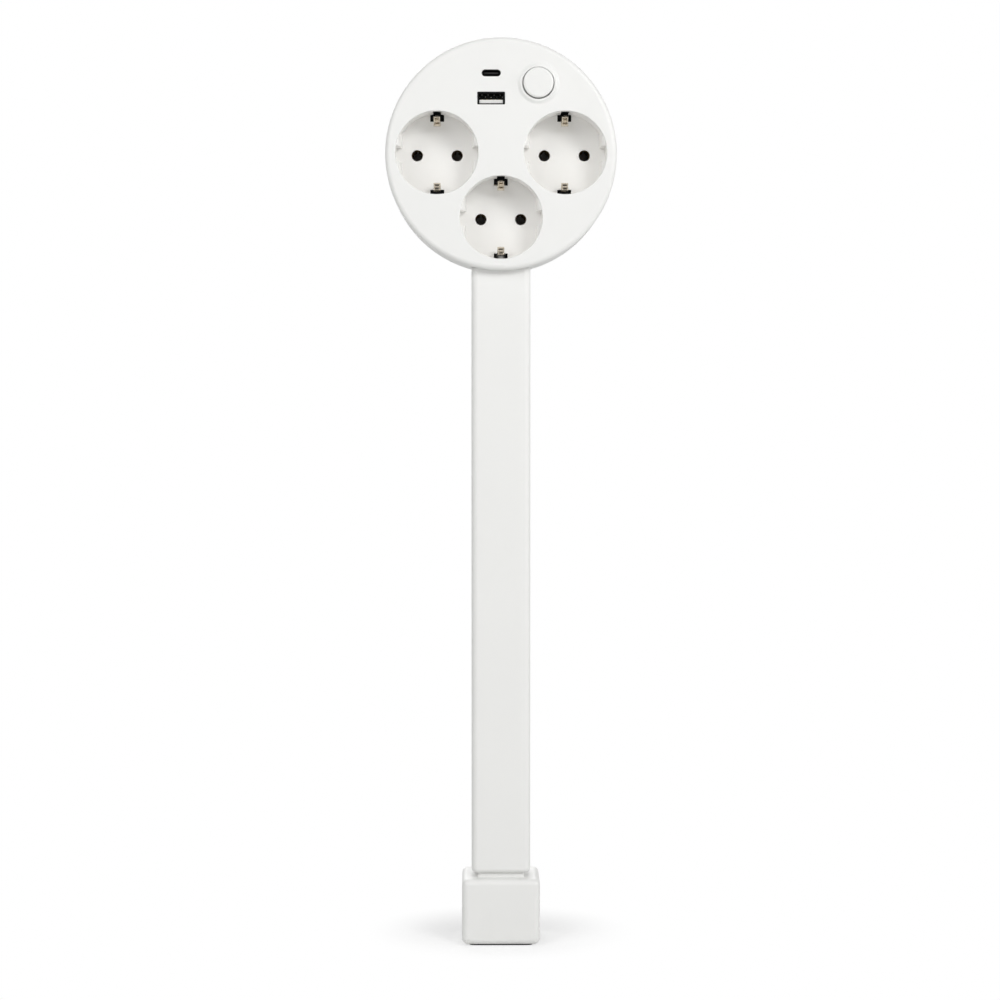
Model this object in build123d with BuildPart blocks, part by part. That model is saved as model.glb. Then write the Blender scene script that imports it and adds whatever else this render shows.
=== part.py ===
from build123d import *
import os
from math import cos, hypot, pi, radians, sin, sqrt

# A round head of three earthed sockets, two USB ports and a push button. It stands on a
# square column that slides up an inner tube, and the tube stands in a block foot.
# Millimetres. X runs to the right, Y to the back and Z up. The origin is on the floor,
# under the middle of the part. A depth is measured back from the head's front face.

# Head
overall_height = 430.6
front_wall = 2.5
skirt_wall = 2.2
cover_wall = 2.0
rear_gap = 3.0
front_round = 2.3
rear_round = 3.0
seam_chamfer = 0.3
rim_round = 0.4
head_edge_gap = 1.35

# Column and foot
neck_width = 22.5
neck_wall = 1.8
neck_round = 1.2
guide_wall = 0.75
stem_wall = 2.0
stem_round = 3.0
stem_end_round = 2.3
stem_lip_height = 3.0
stem_gap = 2.3
stem_back_gap = 6.0
foot_margin = 7.35
foot_height = 32.0
foot_wall = 2.2
foot_top_wall = 2.5
foot_round = 3.0
foot_edge_round = 2.8
pad_margin = 3.5
pad_thickness = 0.8
pad_corner = 2.5
base_plate_margin = 1.8
base_plate_thickness = 2.0
base_plate_corner = 1.0
collar_wall = 1.8
chamber_height = 11.0
guide_length = 25.0
glide_length = 20.0
glide_rim = 1.6
stop_gap = 0.3
spigot_length = 25.0
spigot_wall = 2.6
free_height = 33.5

# Socket wells
well_diameter = 39.0
well_depth = 17.5
well_gap = 1.4
well_rise = 0.5
insert_wall = 1.2
insert_floor = 1.8
pin_spacing = 19.0
pin_hole_diameter = 5.4
pin_diameter = 4.8
rib_depth = 2.9
rib_draft = 1.0
rib_groove = 7.0
rib_top_gap = 0.2
ring_wall = 0.65
ring_height = 1.5
ring_clearance = 0.1

# Earth clips in each well, and the slots that they come through
clip_width = 3.2
clip_thickness = 0.6
clip_inset = 6.2
clip_flat = 1.8
clip_reach_depth = 12.0
clip_tip_depth = 5.5
clip_tip_inset = 2.0
clip_foot_rise = 0.5
clip_bend_radius = 1.6
clip_leg_inset = 0.7
floor_slot_inset = 3.4
floor_slot_width = 6.6
wall_slot_width = 3.8
wall_slot_inset = 1.5
wall_slot_step_depth = 9.0
wall_slot_start_depth = 3.7

# Contact bars behind the wells, and their carrier
bar_thickness = 0.8
bar_width = 4.0
bar_front_gap = 0.1
bar_back_gap = 0.2
sleeve_wall = 0.8
sleeve_pad = 0.3
sleeve_slit = 1.2
sleeve_length = 13.6
sleeve_front_gap = 0.2
throat_wall = 1.2
throat_floor = 0.8
throat_clearance = 0.1
carrier_thickness = 2.0
carrier_ring = 1.5
line_bar_z = 7.3
earth_bar_z = 12.0
earth_drop_x = -6.0
earth_tab_rise = 0.8
earth_strip_margin = 0.1
bar_elbow_drop = 11.0
clip_notch_margin = 2.0
bar_notch_margin = 0.5
drop_notch_margin = 1.0

# Ports and button
usb_x = -4.65
usb_a_z = 25.9
usb_c_z = 37.6
usb_a_width = 13.1
usb_a_height = 6.0
usb_a_corner = 0.4
usb_c_width = 9.0
usb_c_height = 3.28
port_shell_wall = 0.3
usb_a_shell_wall = 0.5
port_recess = 0.4
port_gap = 0.1
usb_a_tongue_width = 11.0
usb_a_tongue_height = 1.6
usb_a_tongue_drop = 1.5
usb_a_tongue_length = 8.5
usb_a_tongue_inset = 1.2
usb_c_tongue_width = 6.6
usb_c_tongue_height = 0.7
usb_c_tongue_length = 6.0
usb_c_tongue_inset = 1.0
contact_width = 1.0
contact_rise = 0.25
contact_pitch = 2.25
contact_inset = 2.6
contact_end_gap = 0.2
contact_pad_width = 0.8
contact_pad_length = 1.5
contact_pad_pitch = 2.0
contact_pad_inset = 0.4
button_x = 17.5
button_z = 32.9
button_diameter = 13.8
button_gap = 0.65
button_proud = 2.5
button_travel = 1.8
button_round = 1.0
button_wall = 1.2
button_face_wall = 1.6
button_flange = 1.3
button_flange_thickness = 1.0
button_flange_gap = 0.2
button_stem_radius = 2.0
collar_width = 2.4
collar_height = 1.0
collar_flat = 0.7
guide_ring_wall = 1.2
guide_ring_length = 4.5
switch_front = 9.0
switch_width = 8.5
switch_corner = 0.5
plunger_radius = 1.7
plunger_length = 5.0
press_gap = 0.2
spring_wire = 0.6
spring_radius = 3.5
spring_half_turns = 10

# Board behind the ports
board_depth = 14.5
board_thickness = 1.6
board_edge_gap = 0.7
board_low_gap = 0.4
board_post_inset = 9.7
board_post_angle = 40.2
board_top_post_inset = 4.0
part_edge_gap = 5.0
part_corner = 0.6
relay_width = 19.0
relay_height = 15.0
relay_length = 15.5
relay_z = 32.0
transformer_z = 32.5
core_height = 16.0
core_leg = 3.0
core_centre_leg = 5.0
core_window = 3.0
core_window_length = 8.0
winding_rise = 1.5
bulk_capacitor_x = -1.0
bulk_capacitor_z = 30.0
bulk_capacitor_radius = 5.0
bulk_capacitor_length = 16.0
output_capacitor_x = 8.5
output_capacitor_z = 43.0
output_capacitor_radius = 3.15
output_capacitor_length = 11.0
capacitor_round = 0.6
radio_width = 12.0
radio_height = 16.0
radio_thickness = 2.4
radio_z = 33.0
block_width = 17.0
block_height = 9.5
block_length = 12.0
block_z = 16.0
block_hole_radius = 1.8
block_hole_depth = 4.0

# Posts, screws and clearances
boss_diameter = 7.0
boss_overlap = 0.5
small_post_diameter = 5.0
carrier_post_diameter = 6.0
carrier_post_gap = 4.4
cover_screw_angle = 43.0
anchor_screw_angle = 60.0
anchor_seat_gap = 2.6
anchor_plate = 3.5
anchor_back_wall = 1.0
carrier_screw_x = 12.5
carrier_screw_low_z = -2.0
screw_diameter = 2.8
screw_head_diameter = 5.6
screw_head_height = 2.0
screw_bite = 12.0
board_screw_bite = 6.0
screw_end_room = 2.0
screw_pass = 0.1
plate_cone = 1.2
plate_screw_inset = 3.35
post_wall = 0.7
post_roof = 1.5
foot_screw_end_room = 1.5
recess_depth = 3.0
lip_height = 1.8
lip_thickness = 1.5
lip_boss_gap = 0.5
lip_notch_side = 2.0
lip_notch_height = 6.0
fit_clearance = 0.15
snug_clearance = 0.05
slide_clearance = 0.15
run_clearance = 0.3

# Cable gland and terminal in the foot
gland_hole_diameter = 9.0
gland_bore_diameter = 7.2
gland_flange = 1.2
gland_flange_radius = 5.2
gland_bead_radius = 5.1
gland_tail = 5.0
gland_tail_wall = 0.8
gland_chamfer = 0.5
gland_drop = 4.9
terminal_side_gap = 0.95
terminal_depth = 9.0
terminal_height = 8.6
terminal_hole_radius = 1.5
terminal_hole_depth = 4.0

# Internal flex and wires
flex_diameter = 5.0
flex_coil_diameter = 16.0
flex_coil_length = 60.0
flex_coil_drop = 11.0
flex_behind_carrier = 6.1
flex_bend_low = 26.5
flex_bend_high = 6.5
flex_bend_radius = 25.0
flex_notch_side = 1.5
flex_notch_drop = 8.5
wire_diameter = 2.2
wire_behind_carrier = 6.6
wire_bend_radius = 6.5
wire_drop = 0.5
switched_wire_rise = 1.0
switched_wire_bend_radius = 2.4

os.makedirs("parts", exist_ok=True)

# Wells: the two upper ones stand level, the lower one fits between them at equal gaps
well_radius = well_diameter / 2
insert_radius = well_radius + insert_wall
insert_back = well_depth + insert_floor
well_step = (2 * insert_radius + well_gap) / sqrt(2)
wells = {
    "left": (-well_step, well_rise),
    "right": (well_step, well_rise),
    "bottom": (0.0, well_rise - well_step),
}
well_points = list(wells.values())
lower_well_z = well_rise - well_step
pin_x = pin_spacing / 2
rib_flat = well_radius - rib_depth
floor_slot_start = well_radius - floor_slot_inset
clip_reach = well_radius - clip_inset

# Depths of what lies behind the wells
bar_front = insert_back + bar_front_gap
bar_back = bar_front + bar_thickness
carrier_front = bar_back + bar_back_gap
carrier_back = carrier_front + carrier_thickness
throat_back = carrier_front + throat_floor
throat_radius = pin_diameter / 2 + throat_clearance
sleeve_front = throat_back + sleeve_front_gap
sleeve_end_depth = sleeve_front + sleeve_length
board_back = board_depth + board_thickness
anchor_seat_depth = carrier_back + anchor_seat_gap

# Head and column
stem_bore = neck_width + 2 * guide_wall
stem_width = stem_bore + 2 * stem_wall
head_radius = well_step + insert_radius + head_edge_gap + skirt_wall
head_depth = sleeve_end_depth + rear_gap + cover_wall
column_depth = head_depth - stem_back_gap - stem_width / 2
housing_depth = column_depth + stem_width / 2 + fit_clearance
cover_depth = head_depth - housing_depth
skirt_radius = head_radius - skirt_wall
head_z = overall_height - head_radius
face_y = button_proud - (head_depth + button_proud) / 2
column_y = face_y + column_depth
stem_bottom = foot_height + stem_gap
stem_top = head_z + lower_well_z - insert_radius - 2 * run_clearance
glide_width = stem_bore - 2 * slide_clearance
lip_bore = neck_width + 4 * slide_clearance

# The inner tube ends below the anchor's spigot, and the room under its glide is the travel
tube_bottom = pad_thickness + base_plate_thickness + chamber_height
tube_top = stem_top - spigot_length - glide_rim - free_height
tube_bore = neck_width - 2 * neck_wall
glide_bottom = tube_top - glide_length
column_travel = glide_bottom - stop_gap - guide_length - stem_lip_height - stem_bottom

# Foot
foot_width = neck_width + 2 * foot_margin
foot_inside = foot_width - 2 * foot_wall
foot_back_y = column_y + foot_width / 2
pad_width = foot_width - 2 * pad_margin
base_plate_width = foot_width - 2 * (foot_edge_round + base_plate_margin)
ledge_z = pad_thickness + base_plate_thickness
gland_z = tube_bottom - gland_drop
gland_bore_radius = gland_bore_diameter / 2

# Screws and posts
boss_radius = boss_diameter / 2
screw_radius = screw_diameter / 2
boss_ring_radius = skirt_radius - boss_radius + boss_overlap
cover_screw_x = boss_ring_radius * cos(radians(cover_screw_angle))
cover_screw_z = boss_ring_radius * sin(radians(cover_screw_angle))
cover_points = [(x, z) for x in (-cover_screw_x, cover_screw_x) for z in (-cover_screw_z, cover_screw_z)]
anchor_x = boss_ring_radius * cos(radians(anchor_screw_angle))
anchor_z = -boss_ring_radius * sin(radians(anchor_screw_angle))
anchor_points = [(-anchor_x, anchor_z), (anchor_x, anchor_z)]
carrier_reach = insert_radius + carrier_post_gap
carrier_screw_z = well_rise + sqrt(carrier_reach**2 - (well_step - carrier_screw_x) ** 2)
carrier_points = [
    (-carrier_screw_x, carrier_screw_z),
    (carrier_screw_x, carrier_screw_z),
    (0.0, carrier_screw_low_z),
]
board_radius = skirt_radius - board_edge_gap
board_low_z = well_rise + insert_radius + board_low_gap
board_post_x = (board_radius - board_post_inset) * cos(radians(board_post_angle))
board_post_z = (board_radius - board_post_inset) * sin(radians(board_post_angle))
board_points = [
    (-board_post_x, board_post_z),
    (board_post_x, board_post_z),
    (0.0, board_radius - board_top_post_inset),
]
foot_screw_at = base_plate_width / 2 - plate_screw_inset
foot_screw_points = [
    (x, y)
    for x in (-foot_screw_at, foot_screw_at)
    for y in (-foot_screw_at, foot_screw_at)
]
post_inner = foot_screw_at - screw_radius - post_wall
post_size = foot_inside / 2 - post_inner
post_centre = post_inner + post_size / 2


def face_plane(depth, x=0.0, z=0.0):
    """A plane that faces the viewer, this far behind the head's front face."""
    return Plane(origin=(x, face_y + depth, head_z + z), x_dir=(1, 0, 0), z_dir=(0, -1, 0))


def column_plane(height):
    """A level plane on the column's axis, this far above the floor."""
    return Plane(origin=(0, column_y, height), x_dir=(1, 0, 0), z_dir=(0, 0, 1))


def save(piece, name):
    """Label a finished piece and write it to its own file."""
    piece.part.label = name
    export_step(piece.part, f"parts/{name}.step")


def head_point(x, depth, z):
    """A point given across, behind the front face and above the head's centre."""
    return (x, face_y + depth, head_z + z)


def bored_column(outer, outer_round, bore, bore_round):
    """A square ring, drawn in the sketch that is being built."""
    RectangleRounded(outer, outer, outer_round)
    RectangleRounded(bore, bore, bore_round, mode=Mode.SUBTRACT)


def rear_screws(points, head_depth_at, shaft_length):
    """Pan-head screws that go in from the back, their heads behind the depth given."""
    with BuildPart() as screws:
        with BuildSketch(face_plane(head_depth_at)):
            with Locations(*points):
                Circle(screw_head_diameter / 2)
        extrude(amount=-screw_head_height)
        fillet(screws.edges().group_by(Axis.Y)[-1], screw_head_height / 3)
        with BuildSketch(face_plane(head_depth_at)):
            with Locations(*points):
                Circle(screw_radius - snug_clearance)
        extrude(amount=shaft_length)
    return screws


def wire_along(points, radii, diameter):
    """A round wire along straight runs that are joined by arcs."""
    with BuildPart() as wire:
        with BuildLine() as route:
            FilletPolyline(*points, radius=radii)
        with BuildSketch(Plane(origin=route.line @ 0, z_dir=route.line % 0)):
            Circle(diameter / 2)
        sweep(path=route.line)
    return wire


# Foot block: an open-bottomed shell with a collar for the inner tube and four corner posts
seat_width = base_plate_width + 2 * fit_clearance
socket_width = neck_width + 2 * snug_clearance
foot_back = Plane(origin=(0, foot_back_y, gland_z), x_dir=(1, 0, 0), z_dir=(0, -1, 0))
with BuildPart() as foot_shell:
    with BuildSketch(column_plane(pad_thickness)):
        RectangleRounded(foot_width, foot_width, foot_round)
    extrude(amount=foot_height - pad_thickness)
    fillet(foot_shell.edges().group_by(Axis.Z)[-1], foot_edge_round)
    fillet(foot_shell.edges().group_by(Axis.Z)[0], foot_edge_round)
    with BuildSketch(column_plane(ledge_z)):
        RectangleRounded(foot_inside, foot_inside, foot_round - foot_wall)
    extrude(amount=foot_height - foot_top_wall - ledge_z, mode=Mode.SUBTRACT)
    with BuildSketch(column_plane(pad_thickness)):
        RectangleRounded(seat_width, seat_width, base_plate_corner)
    extrude(amount=base_plate_thickness, mode=Mode.SUBTRACT)
    with BuildSketch(column_plane(tube_bottom)):
        Rectangle(neck_width + 2 * collar_wall, neck_width + 2 * collar_wall)
    extrude(amount=foot_height - foot_top_wall - tube_bottom)
    with BuildSketch(column_plane(ledge_z)):
        with GridLocations(2 * post_centre, 2 * post_centre, 2, 2):
            Rectangle(post_size, post_size)
    extrude(amount=chamber_height)
    with BuildSketch(column_plane(tube_bottom)):
        RectangleRounded(socket_width, socket_width, neck_round)
    extrude(amount=foot_height, mode=Mode.SUBTRACT)
    with BuildSketch(column_plane(ledge_z)):
        with Locations(*foot_screw_points):
            Circle(screw_radius)
    extrude(amount=chamber_height - post_roof, mode=Mode.SUBTRACT)
    with BuildSketch(foot_back):
        Circle(gland_hole_diameter / 2)
    extrude(amount=foot_wall, mode=Mode.SUBTRACT)
save(foot_shell, "foot_shell")

# Steel plate that closes the foot, with four countersunk holes
with BuildPart() as foot_base_plate:
    with BuildSketch(column_plane(pad_thickness)):
        RectangleRounded(base_plate_width, base_plate_width, base_plate_corner)
    extrude(amount=base_plate_thickness)
    with BuildSketch(column_plane(pad_thickness)):
        with Locations(*foot_screw_points):
            Circle(screw_radius + plate_cone)
    extrude(amount=plate_cone, taper=45, mode=Mode.SUBTRACT)
    with BuildSketch(column_plane(pad_thickness)):
        with Locations(*foot_screw_points):
            Circle(screw_radius)
    extrude(amount=base_plate_thickness, mode=Mode.SUBTRACT)
save(foot_base_plate, "foot_base_plate")

with BuildPart() as foot_screws:
    with BuildSketch(column_plane(pad_thickness)):
        with Locations(*foot_screw_points):
            Circle(screw_radius + plate_cone - snug_clearance)
    extrude(amount=plate_cone, taper=45)
    with BuildSketch(column_plane(pad_thickness)):
        with Locations(*foot_screw_points):
            Circle(screw_radius - snug_clearance)
    extrude(amount=base_plate_thickness + chamber_height - post_roof - foot_screw_end_room)
save(foot_screws, "foot_screws")

with BuildPart() as foot_pad:
    with BuildSketch(column_plane(0)):
        RectangleRounded(pad_width, pad_width, pad_corner)
    extrude(amount=pad_thickness)
save(foot_pad, "foot_pad")

# Rubber gland that lines the cable hole in the foot's back wall
gland_neck_radius = gland_hole_diameter / 2 - snug_clearance
with BuildPart() as cable_gland:
    with BuildSketch(Plane(origin=(0, foot_back_y, gland_z), x_dir=(0, 0, 1), z_dir=(-1, 0, 0))):
        with BuildLine():
            Polyline(
                (gland_bore_radius, -foot_wall - gland_tail),
                (gland_bore_radius, gland_flange),
                (gland_flange_radius - gland_chamfer, gland_flange),
                (gland_flange_radius, gland_flange - gland_chamfer),
                (gland_flange_radius, 0),
                (gland_neck_radius, 0),
                (gland_neck_radius, -foot_wall),
                (gland_bead_radius, -foot_wall),
                (gland_bead_radius, -foot_wall - gland_flange),
                (gland_bore_radius + gland_tail_wall, -foot_wall - gland_tail),
                close=True,
            )
        make_face()
    revolve(axis=Axis((0, foot_back_y, gland_z), (0, 1, 0)))
save(cable_gland, "cable_gland")

# Three-pole terminal in the foot, where a supply cord is wired to the internal flex
terminal_width = 2 * (post_inner - terminal_side_gap)
terminal_back = Plane(
    origin=(0, column_y + terminal_depth / 2, ledge_z + terminal_height / 2),
    x_dir=(1, 0, 0),
    z_dir=(0, -1, 0),
)
with BuildPart() as inlet_terminal:
    with BuildSketch(column_plane(ledge_z)):
        Rectangle(terminal_width, terminal_depth)
    extrude(amount=terminal_height)
    with BuildSketch(terminal_back):
        with GridLocations(terminal_width / 3, 1, 3, 1):
            Circle(terminal_hole_radius)
    extrude(amount=terminal_hole_depth, mode=Mode.SUBTRACT)
save(inlet_terminal, "inlet_terminal")

# Inner tube, fixed in the foot, and the glide that caps its top
with BuildPart() as inner_tube:
    with BuildSketch(column_plane(tube_bottom)):
        bored_column(neck_width, neck_round, tube_bore, neck_round / 2)
    extrude(amount=tube_top - tube_bottom)
save(inner_tube, "inner_tube")

with BuildPart() as upper_glide:
    with BuildSketch(column_plane(glide_bottom)):
        RectangleRounded(glide_width, glide_width, neck_round)
    extrude(amount=glide_length + glide_rim)
    with BuildSketch(column_plane(glide_bottom)):
        RectangleRounded(socket_width, socket_width, neck_round)
    extrude(amount=glide_length, mode=Mode.SUBTRACT)
    with BuildSketch(column_plane(tube_top)):
        RectangleRounded(tube_bore, tube_bore, neck_round / 2)
    extrude(amount=glide_rim, mode=Mode.SUBTRACT)
save(upper_glide, "upper_glide")

# Outer tube: a square column with a lip at its mouth that holds the lower guide
with BuildPart() as outer_tube:
    with BuildSketch(column_plane(stem_bottom)):
        RectangleRounded(stem_width, stem_width, stem_round)
    extrude(amount=stem_top - stem_bottom)
    fillet(outer_tube.edges().group_by(Axis.Z)[0], stem_end_round)
    with BuildSketch(column_plane(stem_bottom + stem_lip_height)):
        RectangleRounded(stem_bore, stem_bore, stem_round - stem_wall)
    extrude(amount=stem_top - stem_bottom, mode=Mode.SUBTRACT)
    with BuildSketch(column_plane(stem_bottom)):
        RectangleRounded(lip_bore, lip_bore, neck_round + 2 * slide_clearance)
    extrude(amount=stem_lip_height, mode=Mode.SUBTRACT)
save(outer_tube, "outer_tube")

with BuildPart() as lower_guide:
    with BuildSketch(column_plane(stem_bottom + stem_lip_height)):
        bored_column(
            stem_bore - 2 * snug_clearance,
            stem_round - stem_wall,
            neck_width + 2 * slide_clearance,
            neck_round,
        )
    extrude(amount=guide_length)
save(lower_guide, "lower_guide")

# Front housing: dished moulding with the face, the skirt and the posts behind the face
button_ring_bore = button_diameter / 2 + button_flange + run_clearance
button_ring_outer = button_ring_bore + guide_ring_wall
button_hole_radius = button_diameter / 2 + button_gap
collar_radius = button_hole_radius + collar_width
notch_half = stem_width / 2 + fit_clearance
notch_low_z = head_z - head_radius
notch_high_z = head_z - sqrt(skirt_radius**2 - notch_half**2) + 2 * snug_clearance
collar_section = Plane(origin=head_point(button_x, 0, button_z), x_dir=(0, 0, 1), z_dir=(1, 0, 0))
with BuildPart() as front_housing:
    with BuildSketch(face_plane(0)):
        Circle(head_radius)
    extrude(amount=-housing_depth)
    fillet(front_housing.edges().group_by(Axis.Y)[0], front_round)
    chamfer(front_housing.edges().group_by(Axis.Y)[-1], seam_chamfer)
    with BuildSketch(face_plane(front_wall)):
        Circle(skirt_radius)
    extrude(amount=-(housing_depth - front_wall), mode=Mode.SUBTRACT)
    with BuildSketch(face_plane(front_wall)):
        with Locations(*cover_points):
            Circle(boss_radius)
    extrude(amount=-(housing_depth - front_wall))
    with BuildSketch(face_plane(front_wall)):
        with Locations(*anchor_points):
            Circle(boss_radius)
    extrude(amount=-(anchor_seat_depth - front_wall))
    with BuildSketch(face_plane(front_wall)):
        with Locations(*carrier_points):
            Circle(carrier_post_diameter / 2)
    extrude(amount=-(carrier_front - front_wall))
    with BuildSketch(face_plane(front_wall)):
        with Locations(*board_points):
            Circle(small_post_diameter / 2)
    extrude(amount=-(board_depth - front_wall))
    with BuildSketch(face_plane(front_wall)):
        with Locations(*well_points):
            Circle(insert_radius + ring_clearance + ring_wall)
    extrude(amount=-ring_height)
    with BuildSketch(face_plane(front_wall)):
        with Locations(*well_points):
            Circle(insert_radius + ring_clearance)
    extrude(amount=-ring_height, mode=Mode.SUBTRACT)
    with BuildSketch(face_plane(front_wall)):
        with Locations((button_x, button_z)):
            Circle(button_ring_outer)
            Circle(button_ring_bore, mode=Mode.SUBTRACT)
    extrude(amount=-guide_ring_length)
    with BuildSketch(collar_section):
        with BuildLine():
            Line((0, -front_wall / 2), (0, collar_height))
            Line((0, collar_height), (button_hole_radius + collar_flat, collar_height))
            Spline(
                (button_hole_radius + collar_flat, collar_height),
                (collar_radius, 0),
                tangents=[(1, -0.2), (1, -0.1)],
            )
            Polyline((collar_radius, 0), (collar_radius, -front_wall / 2), (0, -front_wall / 2))
        make_face()
    revolve(axis=Axis(head_point(button_x, 0, button_z), (0, 1, 0)))
    with BuildSketch(face_plane(-collar_height)):
        with Locations(*well_points):
            Circle(well_radius)
        with Locations((button_x, button_z)):
            Circle(button_hole_radius)
        with Locations((usb_x, usb_a_z)):
            RectangleRounded(usb_a_width, usb_a_height, usb_a_corner)
        with Locations((usb_x, usb_c_z)):
            SlotOverall(usb_c_width, usb_c_height)
    extrude(amount=-(collar_height + front_wall), mode=Mode.SUBTRACT)
    well_rims = [
        e
        for e in front_housing.edges().filter_by(GeomType.CIRCLE)
        if abs(e.radius - well_radius) < 0.01 and abs(e.center().Y - face_y) < 0.01
    ]
    fillet(well_rims, rim_round)
    with BuildSketch(column_plane(notch_low_z)):
        with Locations((0, stem_width / 2)):
            Rectangle(2 * notch_half, 2 * notch_half + stem_width)
    extrude(amount=notch_high_z - notch_low_z, mode=Mode.SUBTRACT)
    with BuildSketch(face_plane(housing_depth)):
        with Locations(*cover_points):
            Circle(screw_radius)
    extrude(amount=screw_bite + screw_end_room, mode=Mode.SUBTRACT)
    with BuildSketch(face_plane(anchor_seat_depth)):
        with Locations(*anchor_points):
            Circle(screw_radius)
    extrude(amount=screw_bite + screw_end_room, mode=Mode.SUBTRACT)
    with BuildSketch(face_plane(carrier_front)):
        with Locations(*carrier_points):
            Circle(screw_radius)
    extrude(amount=screw_bite + screw_end_room, mode=Mode.SUBTRACT)
    with BuildSketch(face_plane(board_depth)):
        with Locations(*board_points):
            Circle(screw_radius)
    extrude(amount=board_screw_bite + screw_end_room, mode=Mode.SUBTRACT)
save(front_housing, "front_housing")

# Rear cover: a shallow lid with a locating lip and four recessed screw seats
lip_radius = skirt_radius - fit_clearance
with BuildPart() as rear_cover:
    with BuildSketch(face_plane(housing_depth)):
        Circle(head_radius)
    extrude(amount=-cover_depth)
    fillet(rear_cover.edges().group_by(Axis.Y)[-1], rear_round)
    chamfer(rear_cover.edges().group_by(Axis.Y)[0], seam_chamfer)
    with BuildSketch(face_plane(housing_depth)):
        Circle(skirt_radius)
    extrude(amount=-(cover_depth - cover_wall), mode=Mode.SUBTRACT)
    with BuildSketch(face_plane(housing_depth)):
        with Locations(*cover_points):
            Circle(boss_radius)
    extrude(amount=-(cover_depth - cover_wall))
    with BuildSketch(face_plane(housing_depth - lip_height)):
        Circle(lip_radius)
        Circle(lip_radius - lip_thickness, mode=Mode.SUBTRACT)
        with Locations(*cover_points):
            Circle(boss_radius + lip_boss_gap, mode=Mode.SUBTRACT)
        with Locations((0, -skirt_radius)):
            Rectangle(stem_width + 2 * lip_notch_side, 2 * lip_notch_height, mode=Mode.SUBTRACT)
    extrude(amount=-(lip_height + cover_depth - cover_wall))
    with BuildSketch(face_plane(head_depth)):
        with Locations(*cover_points):
            Circle(screw_head_diameter / 2 + run_clearance)
    extrude(amount=recess_depth, mode=Mode.SUBTRACT)
    with BuildSketch(face_plane(head_depth)):
        with Locations(*cover_points):
            Circle(screw_radius)
    extrude(amount=cover_depth, mode=Mode.SUBTRACT)
save(rear_cover, "rear_cover")

cover_screws = rear_screws(cover_points, head_depth - recess_depth, screw_bite)
save(cover_screws, "cover_screws")

# Socket inserts: cups with side ribs, pin holes and slots for the earth clips
rib_front = front_wall + rib_top_gap
rib_stations = ((well_depth, rib_flat), (rib_front, rib_flat + rib_draft))
slot_height = insert_radius - floor_slot_start
narrow_start = well_radius - wall_slot_inset
narrow_height = insert_radius - narrow_start
for name, (well_x, well_z) in wells.items():
    with BuildPart() as insert:
        with BuildSketch(face_plane(front_wall, well_x, well_z)):
            Circle(insert_radius)
        extrude(amount=-(insert_back - front_wall))
        with BuildSketch(face_plane(front_wall, well_x, well_z)):
            Circle(well_radius)
        extrude(amount=-(well_depth - front_wall), mode=Mode.SUBTRACT)
        for side in (-1, 1):
            for half in (-1, 1):
                for depth, flat in rib_stations:
                    corner = (side * (flat + well_radius / 2), half * (rib_groove + well_radius) / 2)
                    with BuildSketch(face_plane(depth, well_x, well_z)):
                        Circle(well_radius + insert_wall / 2)
                        with Locations(corner):
                            Rectangle(well_radius, well_radius, mode=Mode.INTERSECT)
                loft()
        with BuildSketch(face_plane(well_depth, well_x, well_z)):
            with GridLocations(pin_spacing, 1, 2, 1):
                Circle(pin_hole_diameter / 2)
        extrude(amount=-insert_floor, mode=Mode.SUBTRACT)
        with BuildSketch(face_plane(wall_slot_step_depth, well_x, well_z)):
            with GridLocations(1, 2 * floor_slot_start + slot_height, 1, 2):
                Rectangle(floor_slot_width, slot_height)
        extrude(amount=-(insert_back - wall_slot_step_depth), mode=Mode.SUBTRACT)
        with BuildSketch(face_plane(wall_slot_start_depth, well_x, well_z)):
            with GridLocations(1, 2 * narrow_start + narrow_height, 1, 2):
                Rectangle(wall_slot_width, narrow_height)
        extrude(amount=-(wall_slot_step_depth - wall_slot_start_depth), mode=Mode.SUBTRACT)
    save(insert, f"socket_insert_{name}")

# Earth bar: one stamped strip behind the wells with a pair of sprung clips in each
leg_radius = floor_slot_start + clip_leg_inset
drop_low = lower_well_z + leg_radius - bar_width
leg_line = leg_radius - clip_thickness / 2
grip_line = clip_reach + clip_thickness / 2
with BuildPart() as earth_rail:
    with BuildSketch(face_plane(bar_front)):
        with Locations(*well_points):
            Rectangle(clip_width + 2 * earth_strip_margin, 2 * leg_radius)
        with Locations((0, earth_bar_z)):
            Rectangle(2 * well_step, bar_width)
        with Locations((earth_drop_x, (earth_bar_z + drop_low) / 2)):
            Rectangle(bar_width, earth_bar_z - drop_low)
        with Locations((earth_drop_x / 2, drop_low + bar_width / 2)):
            Rectangle(abs(earth_drop_x) + bar_width, bar_width)
    extrude(amount=-bar_thickness)
    for well_x, well_z in well_points:
        for half in (-1, 1):
            clip_side = head_point(well_x - clip_width / 2, 0, well_z)
            with BuildSketch(Plane(origin=clip_side, x_dir=(0, 0, half), z_dir=(half, 0, 0))):
                with BuildLine() as clip_line:
                    FilletPolyline(
                        (leg_line, -bar_back),
                        (leg_line, clip_foot_rise - well_depth),
                        (grip_line, -clip_reach_depth - clip_flat / 2),
                        (grip_line, -clip_reach_depth + clip_flat / 2),
                        (well_radius - clip_tip_inset, -clip_tip_depth),
                        radius=clip_bend_radius,
                    )
                trace(clip_line.line, clip_thickness)
            extrude(amount=half * clip_width)
    with BuildSketch(face_plane(bar_back)):
        with Locations((0, earth_bar_z + earth_tab_rise)):
            Rectangle(bar_width, bar_thickness)
    extrude(amount=-(carrier_back - bar_back))
save(earth_rail, "earth_rail")

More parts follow.
